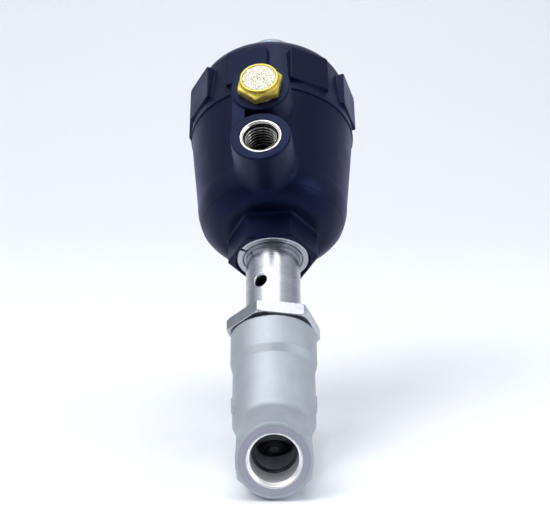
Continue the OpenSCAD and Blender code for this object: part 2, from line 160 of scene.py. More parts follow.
def tube(path, radius, sides=16):
    # A round wire swept along a path: point = path + radius (cos b n + sin b m), n and m across the path.
    path = np.asarray(path, float)
    along = np.gradient(path, axis=0)
    along /= np.linalg.norm(along, axis=1, keepdims=True)
    out = path * [1, 1, 0]
    out -= (out * along).sum(1, keepdims=True) * along
    out /= np.linalg.norm(out, axis=1, keepdims=True)
    side = np.cross(along, out)
    b = np.linspace(0, 2 * np.pi, sides, endpoint=False)[None, :, None]
    rings = path[:, None] + radius * (np.cos(b) * out[:, None] + np.sin(b) * side[:, None])
    n = len(path)
    points = np.concatenate([rings.reshape(-1, 3), path[:1], path[-1:]])
    j = np.arange(sides)
    k = (j + 1) % sides
    base = (n - 1) * sides
    fans = np.concatenate([np.stack([k, j, np.full(sides, n * sides)], -1),
                           np.stack([base + j, base + k, np.full(sides, n * sides + 1)], -1)])
    return points, addTriangles(gridFaces(n, sides), fans)


def coilPath(meanR, wireR, low, length, turns, deadTurns=0.9, steps=40):
    # A compression spring's centre line: flat closed turns at both ends, an even rise between them.
    t = np.linspace(0, turns, int(turns * steps) + 1)
    flat = 2 * wireR * deadTurns
    openRise = length - 2 * wireR - 2 * flat
    rise = np.interp(t, [0, deadTurns, turns - deadTurns, turns],
                     [0, flat, flat + openRise, length - 2 * wireR])
    a = 2 * np.pi * t
    return np.stack([meanR * np.cos(a), meanR * np.sin(a), low + wireR + rise], -1)


def both(a, b, r=0.0):
    # Inside of both shapes, with edges rounded to about r.
    if r <= 0:
        return np.maximum(a, b)
    return np.minimum(-r, np.maximum(a, b)) + np.hypot(np.maximum(r + a, 0), np.maximum(r + b, 0))


def either(a, b, r=0.0):
    # Inside of one shape or the other, with a fillet of about r between them.
    return -both(-a, -b, r)


def without(a, b, r=0.0):
    # Inside of a and outside of b.
    return both(a, -b, r)


def slab(z, low, high, r=0.0):
    return both(low - z, z - high, r)


def hexagon(x, y, flats, turn, r=0.3):
    # Distance to a hexagon's sides, a corner at the given turn from the front.
    angle = np.arctan2(x, -y) - turn - math.radians(30)
    fold = (angle + math.radians(30)) % math.radians(60) - math.radians(30)
    radius = np.hypot(x, y)
    side = radius * np.cos(fold) - flats / 2
    nextSide = radius * np.cos(math.radians(60) - np.abs(fold)) - flats / 2
    return both(side, nextSide, r)


def skin(name, field, low, high, step, body, replaced, material, basis=stemBasis):
    # The surface where a signed distance is zero. One point per lattice cell that the surface crosses,
    # moved onto it along the gradient; one quad round each lattice edge whose ends differ in sign.
    step = step * smooth
    low, high = np.array(low, float), np.array(high, float)
    counts = np.ceil((high - low) / step).astype(int) + 1
    lines = [low[i] + step * np.arange(counts[i]) for i in range(3)]
    inside = field(*np.meshgrid(*[l.astype(np.float32) for l in lines], indexing="ij")) < 0
    cut = [slice(None, -1), slice(1, None)]
    corners = sum(inside[a, b, c].astype(np.int8) for a in cut for b in cut for c in cut)
    crossed = (corners > 0) & (corners < 8)
    ids = np.full(crossed.shape, -1, np.int64)
    ids[crossed] = np.arange(crossed.sum())
    centre = low + (np.argwhere(crossed) + 0.5) * step
    points = centre.copy()
    eps = 0.01
    for _ in range(6):
        value = field(*points.T)
        slope = np.stack([(field(*(points + eps * np.eye(3)[i]).T) - field(*(points - eps * np.eye(3)[i]).T))
                          / (2 * eps) for i in range(3)], -1)
        move = value[:, None] * slope / np.maximum((slope ** 2).sum(1, keepdims=True), 0.04)
        points = np.clip(points - np.clip(move, -step, step), centre - 0.75 * step, centre + 0.75 * step)
    slope /= np.maximum(np.linalg.norm(slope, axis=1, keepdims=True), 1e-9)
    quads = []
    for axis in range(3):
        order = [axis, (axis + 1) % 3, (axis + 2) % 3]
        near = inside.transpose(order)
        cells = ids.transpose(order)
        differ = near[:-1, 1:-1, 1:-1] != near[1:, 1:-1, 1:-1]
        i, j, k = np.nonzero(differ)
        around = np.stack([cells[i, j, k], cells[i, j + 1, k], cells[i, j + 1, k + 1],
                           cells[i, j, k + 1]], -1)
        lowerIn = near[i, j + 1, k + 1]
        around[~lowerIn] = around[~lowerIn][:, ::-1]
        quads.append(around)
    quads = np.concatenate(quads)
    piece = buildMesh(name, place(points, basis), quads, body, replaced, material, slope @ basis)
    print(name, len(quads), "quads")
    return piece


def linear(hexColour, alpha=1.0):
    # sRGB hex to linear red, green, blue and alpha.
    parts = [int(hexColour[i:i + 2], 16) / 255 for i in (1, 3, 5)]
    return tuple(c / 12.92 if c <= 0.04045 else ((c + 0.055) / 1.055) ** 2.4 for c in parts) + (alpha,)


def addNode(tree, kind, settings=None, inputs=None):
    # One shader node with its settings, and its inputs as values or as sockets to link.
    node = tree.nodes.new(kind)
    for key, value in (settings or {}).items():
        setattr(node, key, value)
    for key, value in (inputs or {}).items():
        if isinstance(value, bpy.types.NodeSocket):
            tree.links.new(value, node.inputs[key])
        else:
            node.inputs[key].default_value = value
    return node


def newMaterial(name, **values):
    # A Principled material; values are set on the shader's own sockets.
    material = bpy.data.materials.new(name)
    material.use_nodes = True
    tree = material.node_tree
    shader = tree.nodes["Principled BSDF"]
    for key, value in values.items():
        shader.inputs[key.replace("_", " ")].default_value = value
    return material, tree, shader


def stemCoordinates(tree):
    # Object coordinates turned so that Z runs along the stem and the stem axis is at X = Y = 0.
    back = Matrix.Rotation(math.radians(45), 3, "X") @ Vector(crossing)
    place = addNode(tree, "ShaderNodeTexCoord").outputs["Object"]
    return addNode(tree, "ShaderNodeMapping", {}, {
        "Vector": place, "Location": tuple(-back), "Rotation": (math.radians(45), 0, 0)}).outputs["Vector"]


def finishSurface(tree, shader, tone, low, high, raised, strength, depth, wear=None, roughness=None):
    # Colour runs from low to high with the tone pattern, roughness between two values with the wear
    # pattern, and the raised pattern is a bump of the given strength, with its depth in millimetres.
    low, high = [linear(colour) if isinstance(colour, str) else colour for colour in (low, high)]
    mix = addNode(tree, "ShaderNodeMix", {"data_type": "RGBA"}, {0: tone, 6: low, 7: high})
    tree.links.new(mix.outputs[2], shader.inputs["Base Color"])
    if wear is not None:
        spread = {"From Min": 0.3, "From Max": 0.7, "To Min": roughness[0], "To Max": roughness[1]}
        rough = addNode(tree, "ShaderNodeMapRange", {}, {"Value": wear, **spread})
        tree.links.new(rough.outputs[0], shader.inputs["Roughness"])
    bump = addNode(tree, "ShaderNodeBump", {}, {
        "Height": raised, "Strength": strength, "Distance": depth * mm})
    tree.links.new(bump.outputs[0], shader.inputs["Normal"])


def castStainlessBlasted():
    # Investment-cast 316L, glass-bead blasted: a matt, even skin with 0.3 mm pits and faint clouds 7 mm wide.
    material, tree, shader = newMaterial("stainlessCastBlasted", Metallic=1.0)
    place = addNode(tree, "ShaderNodeTexCoord").outputs["Object"]
    clouds = addNode(tree, "ShaderNodeTexNoise", {}, {"Vector": place, "Scale": 140.0, "Detail": 3.0})
    pits = addNode(tree, "ShaderNodeTexNoise", {}, {
        "Vector": place, "Scale": 3200.0, "Detail": 3.0, "Roughness": 0.65}).outputs["Fac"]
    finishSurface(tree, shader, clouds.outputs["Fac"], "#a8aeb4", "#bbc1c6", pits, 0.5, 0.16, pits,
                  (0.52, 0.7))
    return material


def stainlessTurned(name, alongStem=True, dark="#a3a7af", light="#cfd1d6", roughness=(0.2, 0.36),
                    metallic=1.0, relief=0.12):
    # Bar turned on a lathe: fine grooves round the axis, about 0.2 mm apart, and faint bands 4 mm wide.
    material, tree, shader = newMaterial(name, Metallic=metallic)
    place = stemCoordinates(tree) if alongStem else addNode(tree, "ShaderNodeTexCoord").outputs["Object"]
    parts = addNode(tree, "ShaderNodeSeparateXYZ", {}, {"Vector": place}).outputs
    across, other, along = parts if alongStem else (parts[0], parts[2], parts[1])
    flat = addNode(tree, "ShaderNodeCombineXYZ", {}, {"X": across, "Y": other}).outputs[0]
    radius = addNode(tree, "ShaderNodeVectorMath", {"operation": "LENGTH"}, {0: flat}).outputs["Value"]
    turnedPlace = addNode(tree, "ShaderNodeCombineXYZ", {}, {"X": radius, "Z": along}).outputs[0]
    grooves = addNode(tree, "ShaderNodeTexNoise", {}, {
        "Vector": turnedPlace, "Scale": 4500.0, "Detail": 2.0}).outputs["Fac"]
    bands = addNode(tree, "ShaderNodeTexNoise", {}, {"Vector": turnedPlace, "Scale": 260.0, "Detail": 3.0})
    finishSurface(tree, shader, bands.outputs["Fac"], dark, light, grooves, relief, 0.05, grooves, roughness)
    return material


def steelThreadCut():
    # Free-cutting steel, nickel plated, with a cut thread: a painted highlight on the crests and painted shade in
    # the grooves, mixed by the groove depth the mesh carries.
    material, tree, shader = newMaterial("steelThreadCut", Metallic=0.7)
    depth = addNode(tree, "ShaderNodeAttribute", {"attribute_name": "groove"}).outputs["Fac"]
    place = addNode(tree, "ShaderNodeTexCoord").outputs["Object"]
    marks = addNode(tree, "ShaderNodeTexNoise", {}, {
        "Vector": place, "Scale": 1800.0, "Detail": 3.0}).outputs["Fac"]
    # The near-white colour for the crests is a painted highlight and the near-black groove colour a painted shade;
    # groove depth mixes them.
    paintedCrestHighlight = addNode(tree, "ShaderNodeMix", {"data_type": "RGBA"}, {
        0: marks, 6: linear("#e4dfd6"), 7: linear("#fffdf8")}).outputs[2]
    low = addNode(tree, "ShaderNodeMapRange", {}, {"Value": depth, "From Min": 0.05, "From Max": 0.3})
    finishSurface(tree, shader, low.outputs[0], paintedCrestHighlight, "#1b1917", marks, 0.04, 0.04, marks, (0.16, 0.3))
    return material


def polyamideMoulded(name="polyamideMouldedNavy", dark="#030410", light="#070919"):
    # Glass-filled polyamide from a spark-eroded mould: a 0.25 mm leather-like texture, satin gloss, and a painted
    # blue reflection from the blue specular and sheen tints.
    material, tree, shader = newMaterial(name, IOR=1.53, Specular_IOR_Level=0.3, Sheen_Weight=0.14,
                                         Sheen_Roughness=0.4)
    # Painted reflection: these blue tints make the edges and highlights blue.
    shader.inputs["Specular Tint"].default_value = linear("#7390ec")
    shader.inputs["Sheen Tint"].default_value = linear("#3f63ea")
    place = addNode(tree, "ShaderNodeTexCoord").outputs["Object"]
    clouds = addNode(tree, "ShaderNodeTexNoise", {}, {
        "Vector": place, "Scale": 90.0, "Detail": 4.0}).outputs["Fac"]
    grain = addNode(tree, "ShaderNodeTexNoise", {}, {"Vector": place, "Scale": 4000.0, "Detail": 2.0})
    finishSurface(tree, shader, clouds, dark, light, grain.outputs["Fac"], 0.25, 0.06, clouds, (0.36, 0.48))
    return material


def brassTurned():
    # Free-cutting brass, turned and milled: warm yellow, 0.3 mm tool marks, 1.4 mm dull spots from handling.
    material, tree, shader = newMaterial("brassTurned", Metallic=1.0)
    place = addNode(tree, "ShaderNodeTexCoord").outputs["Object"]
    spots = addNode(tree, "ShaderNodeTexNoise", {}, {
        "Vector": place, "Scale": 700.0, "Detail": 4.0}).outputs["Fac"]
    marks = addNode(tree, "ShaderNodeTexNoise", {}, {"Vector": place, "Scale": 3600.0, "Detail": 2.0})
    finishSurface(tree, shader, spots, "#c3ab47", "#e3d271", marks.outputs["Fac"], 0.15, 0.05, spots,
                  (0.38, 0.52))
    return material


def bronzeSintered():
    # Pressed and sintered bronze powder, nickel pale: 0.45 mm grains, with pores about 0.65 mm apart. The colour
    # darkens towards each grain's edge and in the pores: painted shade in the gaps between grains.
    material, tree, shader = newMaterial("bronzeSintered", Metallic=0.3, Roughness=0.5)
    place = addNode(tree, "ShaderNodeTexCoord").outputs["Object"]
    cells = addNode(tree, "ShaderNodeTexVoronoi", {"feature": "DISTANCE_TO_EDGE"}, {
        "Vector": place, "Scale": 2300.0})
    specks = addNode(tree, "ShaderNodeTexVoronoi", {}, {"Vector": place, "Scale": 1500.0})
    edge = addNode(tree, "ShaderNodeMapRange", {}, {
        "Value": cells.outputs["Distance"], "From Min": 0.0, "From Max": 0.12, "To Min": 0.55}).outputs[0]
    pores = addNode(tree, "ShaderNodeMapRange", {}, {
        "Value": specks.outputs["Distance"], "From Min": 0.24, "From Max": 0.32}).outputs[0]
    # Painted shade: dark at the grain edges and in the pores.
    grainPaintedShade = addNode(tree, "ShaderNodeMath", {"operation": "MULTIPLY"}, {0: edge, 1: pores}).outputs[0]
    finishSurface(tree, shader, grainPaintedShade, "#2e291c", "#fbf7e6", edge, 0.5, 0.1)
    return material


def plainFinish(name, dark, light, size, roughness, metallic=0.0, depth=0.04, **values):
    # A simple solid finish: two near tones in patches of the given size in millimetres, with a 0.25 mm grain.
    material, tree, shader = newMaterial(name, Metallic=metallic, **values)
    place = addNode(tree, "ShaderNodeTexCoord").outputs["Object"]
    patches = addNode(tree, "ShaderNodeTexNoise", {}, {
        "Vector": place, "Scale": 1 / (size * mm), "Detail": 3.0}).outputs["Fac"]
    grain = addNode(tree, "ShaderNodeTexNoise", {}, {"Vector": place, "Scale": 4000.0, "Detail": 2.0})
    finishSurface(tree, shader, patches, dark, light, grain.outputs["Fac"], 0.2, depth, patches,
                  (roughness * 0.85, roughness * 1.15))
    return material


def clearPlastic():
    # Clear moulded polycarbonate with a faint blue cast and slight flow ripples 8 mm wide.
    material, tree, shader = newMaterial("polycarbonateClear", Roughness=0.08, IOR=1.58,
                                         Transmission_Weight=0.85)
    place = addNode(tree, "ShaderNodeTexCoord").outputs["Object"]
    ripple = addNode(tree, "ShaderNodeTexNoise", {}, {
        "Vector": place, "Scale": 120.0, "Detail": 2.0}).outputs["Fac"]
    finishSurface(tree, shader, ripple, "#c4d8ee", "#dcebf8", ripple, 0.1, 0.2)
    return material


castSteel = castStainlessBlasted()
turnedSteel = stainlessTurned("stainlessTurnedBar", roughness=(0.25, 0.285), relief=0.006)
facedSteel = stainlessTurned("stainlessFacedPort", False, "#898a96", "#a6a6b0", (0.24, 0.4))
# Painted shade: each port's inner shoulder is the same turned stainless, coloured dark for the shade deep in the
# bore.
shoulderPaintedShadeSteel = stainlessTurned("stainlessShoulderPaintedShade", False, "#35343b", "#4d4c54", (0.3, 0.42))
# Painted light: the socket wall is the same turned stainless, coloured near white and partly diffuse to stand in
# for light on the bore wall.
socketPaintedLightSteel = stainlessTurned("stainlessSocketPaintedLight", False, "#e4e6ea", "#fcfcfd", (0.3, 0.42), 0.6, 0.8)
insertSteel = steelThreadCut()
navyPlastic = polyamideMoulded()
innerPlastic = polyamideMoulded("polyamideMouldedBlack", "#0b0b0d", "#151518")
brass = brassTurned()
clear = clearPlastic()
springWire = plainFinish("springSteelDrawn", "#7d8088", "#a9acb4", 6, 0.3, metallic=1.0)
print("materials made")

finishes = {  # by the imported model's own slots
    "cast_stainless": castSteel, "turned_stainless": turnedSteel, "spring_steel": springWire,
    "port_insert_steel": insertSteel, "actuator_plastic": navyPlastic, "silencer_brass": brass,
    "sintered_bronze": bronzeSintered(), "clear_plastic": clear,
    "ptfe": plainFinish("ptfeSkived", "#dcdcd6", "#f2f2ee", 2, 0.4, IOR=1.35),
    "graphite_gasket": plainFinish("graphiteGasketPressed", "#14161f", "#262a3a", 0.6, 0.6, depth=0.1),
    "bearing_plastic": plainFinish("bearingPlasticMachined", "#a88f5e", "#c9b384", 1.5, 0.45),
    "seal_rubber": plainFinish("nitrileRubberMoulded", "#0a0a0b", "#161617", 1.2, 0.5),
    "indicator_plastic": plainFinish("signalPlasticMoulded", "#e0700e", "#f08a22", 4, 0.35),
}
slotOf = {s["node"]: s["material_slot"] for s in record["subparts"]}
for nodeName, node in frame["nodes"].items():
    finish = innerPlastic if nodeName == "piston" else finishes[slotOf[nodeName]]
    for nodeSlot in node.material_slots:
        nodeSlot.material = finish

bodyShape = {
    "portFlats": 25.1, "portCorner": 14.3, "portTrim": 12.75, "ringR": 12.0,
    "pocketR": 9.7, "pocketDepth": 13.1, "passageR": 7.03, "neckR": 12.9, "hexLength": 12.5,
    "barrelR": 14.9, "rimR": 15.8, "coneLow": 24.5, "coneHigh": 27.8, "barrelTop": 39.3,
    "chamberR": 10.5, "boreR": 12.0, "seatR": 6.5, "seatTop": -2.5, "floor": -4.0, "seatWay": -8.5,
    "barrelFoot": 0.5,
}


def bodyField(x, y, z):
    s = bodyShape
    h = (y + z) * math.sqrt(0.5)
    front = (z - y) * math.sqrt(0.5)
    stemR = np.hypot(x, front)
    flowR = np.hypot(x, z)
    end = portHalf - np.abs(y)  # depth behind the nearer port face
    # barrel: two radii joined by a cone, cut off level at the flow axis
    rise = np.clip((h - s["coneLow"]) / (s["coneHigh"] - s["coneLow"]), 0, 1)
    wallR = s["barrelR"] + (s["rimR"] - s["barrelR"]) * rise
    barrel = both(stemR - wallR, h - s["barrelTop"], 0.35)
    barrel = both(barrel, s["barrelFoot"] - z, 2.2)
    # port ends: a hexagon with trimmed corners, a coned front edge and a round neck behind it
    angle = np.arctan2(x, z)
    fold = (angle + math.radians(60)) % math.radians(60) - math.radians(30)
    hexSide = flowR * np.cos(fold) - s["portFlats"] / 2
    hexEnd = both(hexSide, np.maximum(flowR - s["portCorner"], np.abs(z) - s["portTrim"] - 0.05 * end), 0.2)
    cone = (flowR - s["ringR"]) * 0.78 - end * 0.62
    hexEnd = both(hexEnd, cone, 0.3)
    hexEnd = both(hexEnd, end - s["hexLength"] - 0.8, 1.2)
    neck = flowR - s["neckR"]
    ends = both(either(hexEnd, neck, 0.8), 0.1 - end, 0.0)
    outside = either(barrel, ends, 1.1)
    # a raised flow arrow on each side of the barrel
    along, up = y - 6.0, z - 7.5
    shaft = both(np.abs(up) - 1.1, np.abs(along + 1.0) - 5.0)
    head = both(np.abs(up) * 0.8 + (along - 7.4) * 0.6, 3.2 - along)
    arrow = both(np.minimum(shaft, head), stemR - wallR - 0.45)
    arrow = both(arrow, 8.0 - np.abs(x))
    outside = either(outside, arrow, 0.3)
    # passages
    pocket = both(flowR - s["pocketR"], end - s["pocketDepth"])
    inlet = both(flowR - s["passageR"], np.maximum(y, h - (s["floor"] - 2.4)), 0.4)
    outletWay = both(flowR - s["passageR"], np.maximum(-y, s["floor"] - h), 0.4)
    seatHole = both(stemR - s["seatR"], slab(h, s["seatWay"], 2.0))
    chamber = both(stemR - s["chamberR"], slab(h, s["floor"], s["coneLow"] + 1))
    lip = both(both(stemR - s["seatR"] - 1.6, h - s["seatTop"], 0.15), s["floor"] - 2 - h)
    chamber = without(chamber, lip)
    bore = both(stemR - s["boreR"], s["coneLow"] - h)
    hollow = np.minimum.reduce([pocket, inlet, outletWay, seatHole, chamber, bore])
    return without(outside, hollow, 0.15)


portRows = {  # radius and depth of the turned skins, from their outer edge round to the back
    "face": [(12.0, 0.0), (12.0, 0.3), (9.9, 0.35), (9.66, 0.3), (9.5, 0.1), (9.55, 0.0)],
    "socket": [(9.5, 0.03), (9.66, 0.4), (9.75, 0.5), (9.75, 12.3), (8.3, 12.3), (8.02, 12.0), (8.08, 9.0),
               (8.14, 6.0), (8.2, 3.2), (8.26, 2.6), (8.75, 2.3), (8.82, 1.5), (9.25, 1.1), (9.33, 0.4),
               (9.48, 0.05)],
    "shoulder": [(8.25, 12.04), (9.7, 12.35), (9.7, 13.0), (7.03, 13.0), (7.03, 12.3), (7.18, 12.06)],
}


def portSkin(rows, backwards):
    # A closed ring turned round the flow axis; depth counts inwards from the port's own face.
    points, faces = turned(rows, 128)
    x, across, depth = points.T
    sign = -1 if backwards else 1
    return np.stack([x * sign, (depth - portHalf) * sign, -across], -1), faces


def makeBody():
    body = skin("bodyCasting", bodyField, (-16.6, -33.1, -14.4), (16.6, 40.2, 40.2), 0.45, "valve",
                ("valve_body",), castSteel, flowBasis)
    for name, backwards in (("inlet", False), ("outlet", True)):
        for part, finish in (("face", facedSteel), ("socket", socketPaintedLightSteel), ("shoulder", shoulderPaintedShadeSteel)):
            points, faces = portSkin(portRows[part], backwards)
            buildMesh(name + part.capitalize() + "Turned", place(points, flowBasis), faces, "valve", (),
                      finish)
    return body


makeBody()

bonnetShape = {
    "flats": 30.6, "hexLow": 40.4, "hexHigh": 45.6, "hexTurn": -19.1, "tubeR": 10.35, "top": 92.0,
    "spigotR": 11.95, "spigotLow": 25.0, "packingR": 6.5, "innerR": 8.0, "flangeR": 13.0,
    "weepHeight": 59.25, "weepTurn": -27.5, "weepR": 2.35, "spindleHole": 4.4,
}


def bonnetField(x, y, z):
    s = bonnetShape
    r = np.hypot(x, y)
    corner = s["flats"] / math.sqrt(3)
    hexSide = hexagon(x, y, s["flats"], math.radians(s["hexTurn"]), 0.25)
    trim = r * 0.5 - corner * 0.5 + 0.5
    nut = both(hexSide, slab(z, s["hexLow"], s["hexHigh"], 0.1))
    nut = both(nut, both(trim + (z - s["hexHigh"]) * 0.87, trim + (s["hexLow"] - z) * 0.87), 0.12)
    tubeWall = both(r - s["tubeR"], slab(z, 42, s["top"], 0.2))
    spigot = both(r - s["spigotR"], slab(z, s["spigotLow"], 43))
    flange = both(r - s["flangeR"], slab(z, 78.5, 82.0, 0.2))
    solid = either(np.minimum.reduce([nut, spigot, flange]), tubeWall, 0.35)
    a = math.radians(s["weepTurn"])
    outwards = x * math.sin(a) - y * math.cos(a)
    fromWeep = np.hypot(x * math.cos(a) + y * math.sin(a), z - s["weepHeight"])
    countersink = fromWeep - s["weepR"] - np.clip(outwards - s["tubeR"] + 0.55, 0, 2)
    weep = both(countersink, 2 - outwards)
    groove = both(8.8 - r, slab(z, 86.0, 88.2))
    holes = np.minimum.reduce([
        both(r - s["packingR"], z - 46), both(r - 5.5, slab(z, 45, 51)), weep, groove,
        both(r - s["innerR"], slab(z, 50, 79), 0.3), both(r - s["spindleHole"], slab(z, 78, 82)),
        both(r - 6.0, 81 - z), both(r - 7.1, slab(z, 26.0, 27.1))])
    return without(solid, holes, 0.12)


skin("bonnetTurned", bonnetField, (-18.2, -18.2, 24.6), (18.2, 18.2, 92.4), 0.42, "valve", ("bonnet",),
     turnedSteel)
print("valve side made")

airPorts = {
    "pilotHeight": 100.3, "exhaustHeight": 124.7, "reach": 43.3, "bossR": 11.35, "insertR": 7.75,
    "insertLength": 12.0, "passageR": 2.5, "webFrom": -10.9, "webTo": -6.0,
}
housingShape = {
    "footFlats": 30.3, "footLow": 74.8, "footRecessR": 14.25, "shoulderR": 20.0, "shoulderLow": 86.0,
    "shoulderHigh": 100.0, "topR": 32.45, "topHeight": 132.0, "footR": 29.0, "coverLow": 134.1,
    "collarR": 29.8, "collarHigh": 146.0, "boreR": 25.0, "notchR": 34.9,
}


def alongPort(x, y):
    # Distance out along the air ports' direction, and across it.
    return x * math.sin(portTurn) - y * math.cos(portTurn), x * math.cos(portTurn) + y * math.sin(portTurn)


def bossField(out, across, dz):
    p = airPorts
    draft = p["bossR"] + 0.6 * (p["reach"] - out) / 23.3
    return both(both(np.hypot(across, dz) - draft, out - p["reach"], 0.5), 15 - out)


def housingField(x, y, z):
    s, p = housingShape, airPorts
    r = np.hypot(x, y)
    out, across = alongPort(x, y)
    sideR = s["footR"] + (s["topR"] - s["footR"]) * (z - 96.6) / (s["topHeight"] - 96.6)
    wideR = s["footR"] + (s["topR"] - s["footR"]) * (s["shoulderHigh"] - 96.6) / (s["topHeight"] - 96.6)
    ovalFoot = np.hypot(np.maximum(r - s["shoulderR"], 0) / (wideR - s["shoulderR"]),
                      (s["shoulderHigh"] - z) / (s["shoulderHigh"] - s["shoulderLow"])) - 1
    shell = np.where(z < s["shoulderHigh"], ovalFoot * 11, r - sideR)
    shell = both(shell, z - s["coverLow"] + 0.02, 0.3)
    shell = np.minimum(shell, both(r - s["collarR"], slab(z, 120, s["collarHigh"], 0.3)))
    foot = hexagon(x, y, s["footFlats"], portTurn - math.radians(30), 0.5)
    foot = both(foot, slab(z, s["footLow"], 92), 0.3)
    shell = either(shell, foot, 0.9)
    pilotBoss = bossField(out, across, z - p["pilotHeight"])
    exhaustBoss = bossField(out, across, z - p["exhaustHeight"])
    notch = both(r - s["notchR"], s["coverLow"] - 0.3 - z)
    exhaustBoss = without(exhaustBoss, notch, 0.3)
    web = both(slab(across, p["webFrom"], p["webTo"], 0.3), slab(out, 25, p["reach"] - 1.0, 0.4))
    web = both(web, slab(z, p["pilotHeight"], p["exhaustHeight"]))
    bosses = either(np.minimum(pilotBoss, exhaustBoss), web, 0.5)
    outside = either(shell, bosses, 1.3)
    coneR = 14 + (z - 92.2) * 11 / 8.8
    inside = np.minimum.reduce([
        both(r - s["footRecessR"], z - 78.45), both(r - 13.1, slab(z, 73, 82.3)),
        both(r - 10.4, slab(z, 80, 94)), both((r - coneR) * 0.62, slab(z, 92.2, 101.1)),
        both(r - s["boreR"], 101 - z)])
    for height in (p["pilotHeight"], p["exhaustHeight"]):
        fromAxis = np.hypot(across, z - height)
        inside = np.minimum(inside, both(fromAxis - p["insertR"], p["reach"] - p["insertLength"] - out))
        inside = np.minimum(inside, both(fromAxis - p["passageR"], 20 - out))
    groove = both(27.6 - r, slab(z, 137, 140))
    return without(outside, np.minimum(inside, groove), 0.15)


skin("housingMoulding", housingField, (-34.2, -45.0, 74.0), (34.2, 34.2, 147.0), 0.66, "actuator",
     ("housing",), navyPlastic)


def partingLine():
    # The thin moulding line round the housing where its shoulder starts: a 0.3 mm bead, half sunk.
    s = housingShape
    height = 91.5
    t = (s["shoulderHigh"] - height) / (s["shoulderHigh"] - s["shoulderLow"])
    wideR = s["footR"] + (s["topR"] - s["footR"]) * (s["shoulderHigh"] - 96.6) / (s["topHeight"] - 96.6)
    radius = s["shoulderR"] + (wideR - s["shoulderR"]) * math.sqrt(1 - t * t)
    b = np.linspace(0, 2 * np.pi, 10, endpoint=False)
    rows = np.stack([radius - 0.02 + 0.14 * np.cos(b), height - 0.18 * np.sin(b)], -1)
    points, faces = turned(rows, 240)
    buildMesh("partingLine", place(points), faces, "actuator", (), navyPlastic)


partingLine()

coverShape = {
    "low": 134.1, "skirtR": 33.1, "shoulderR": 30.7, "shoulderAt": 157.7, "roundR": 9.0, "roundMid": 21.7,
    "crownR": 13.6, "crown": 168.2, "padR": 33.3, "padHalf": 8.6, "padLow": 139.1, "padHigh": 156.4,
    "padTurn": -17.5, "pads": 8, "neckR": 10.2, "neckTop": 174.5, "roof": 161.0,
}


def coverField(x, y, z):
    s = coverShape
    r = np.hypot(x, y)
    low, at = s["low"], s["shoulderAt"]
    sideR = s["skirtR"] - (s["skirtR"] - s["shoulderR"]) * (z - low) / (at - low)
    ball = np.hypot(np.maximum(r - s["roundMid"], 0), np.maximum(z - at, 0)) - s["roundR"]
    crown = (z - s["crown"] + (r - s["crownR"]) * 0.175) * 0.985
    dome = np.where(r < s["roundMid"] + 1.5, crown, ball)
    solid = both(np.where(z < at, r - sideR, dome), low - z, 0.4)
    pitch = 2 * math.pi / s["pads"]
    angle = np.arctan2(x, -y) - math.radians(s["padTurn"])
    fold = (angle + pitch / 2) % pitch - pitch / 2
    off, lateral = r * np.cos(fold) - s["padR"], np.abs(r * np.sin(fold)) - s["padHalf"]
    trim = (lateral + z - s["padHigh"] + 1.2) * 0.707
    pad = both(both(off, both(lateral, slab(z, s["padLow"], s["padHigh"]), 0.3), 0.35), trim, 0.2)
    pad = both(pad, 28 - r)
    solid = either(solid, pad, 0.25)
    neck = both(r - s["neckR"], slab(z, 160, s["neckTop"], 0.3))
    solid = either(solid, neck, 0.8)
    roof = (z - s["roof"]) * 0.74 + (r - 21) * 0.67
    inside = np.minimum.reduce([
        both(r - 29.85, z - 146.1), both(both(r - 26.5, both(roof, z - s["roof"])), 146 - z),
        both(r - 5.6, 150 - z)])
    return without(solid, inside, 0.2)


skin("coverMoulding", coverField, (-35.4, -35.4, 133.4), (35.4, 35.4, 175.4), 0.55, "actuator", ("cover",),
     navyPlastic)
print("actuator shells made")


def placePort(points, height):
    # Local points with +Z along the air port's axis, at a height on the stem, to frame metres.
    x, y, z = np.asarray(points, float).T
    c, s = math.cos(portTurn), math.sin(portTurn)
    return place(np.stack([x * c + z * s, x * s - z * c, y + height], -1))


# the screw's pitch is drawn coarser than the real 1.337 mm, so that its turns can be told apart
insertShape = {"outerR": 7.73, "majorR": 6.58, "minorR": 5.72, "pitch": 1.55, "low": 31.3, "high": 43.34}


